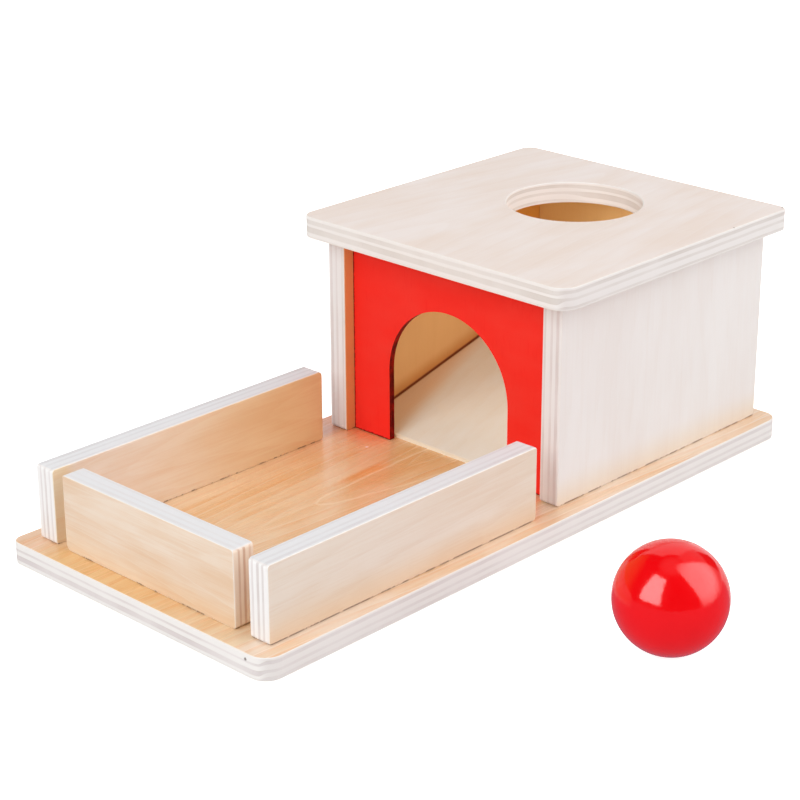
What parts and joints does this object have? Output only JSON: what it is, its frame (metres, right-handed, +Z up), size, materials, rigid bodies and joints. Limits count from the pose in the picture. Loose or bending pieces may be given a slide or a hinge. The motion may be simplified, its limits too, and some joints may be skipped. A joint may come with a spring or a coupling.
{
  "type": "object permanence box",
  "caption": "Wooden object permanence box: a ball dropped through the hole in the lid rolls down a hidden ramp and out of an arch in a red front panel into a low open tray.",
  "frame": {"origin": "middle of the base board's underside, on the surface that the toy stands on", "axes": "+Z up, +Y from the tray end towards the house, +X to the right seen from the tray end"},
  "size_m": [0.2678, 0.3286, 0.112],
  "materials": {
    "birch_base": "clear satin lacquer on birch plywood",
    "birch_tray": "clear satin lacquer on birch plywood",
    "birch_house": "clear satin lacquer on birch plywood",
    "red_panel": "satin red paint, scorched dark at the cut edges",
    "ramp_board": "smooth bare birch plywood",
    "birch_lid": "clear satin lacquer on birch plywood",
    "screw_steel": "zinc-plated",
    "dowel_beech": "bare beech",
    "red_ball": "glossy red lacquer"
  },
  "bodies": {
    "box": {"base_board": "birch_base", "tray_side_left": "birch_tray", "tray_side_right": "birch_tray", "tray_front": "birch_tray", "house_side_left": "birch_house", "house_side_right": "birch_house", "house_back": "birch_house", "front_panel": "red_panel", "ramp": "ramp_board", "ramp_rest": "ramp_board", "lid_board": "birch_lid", "base_screws": "screw_steel", "lid_dowels": "dowel_beech"},
    "ball": {"ball": "red_ball"}
  },
  "joints": [
    {"name": "ball_lift", "type": "slide", "parent": "box", "child": "ball", "axis": [0, 0, 1], "range_m": [0, 0.14]}
  ]
}
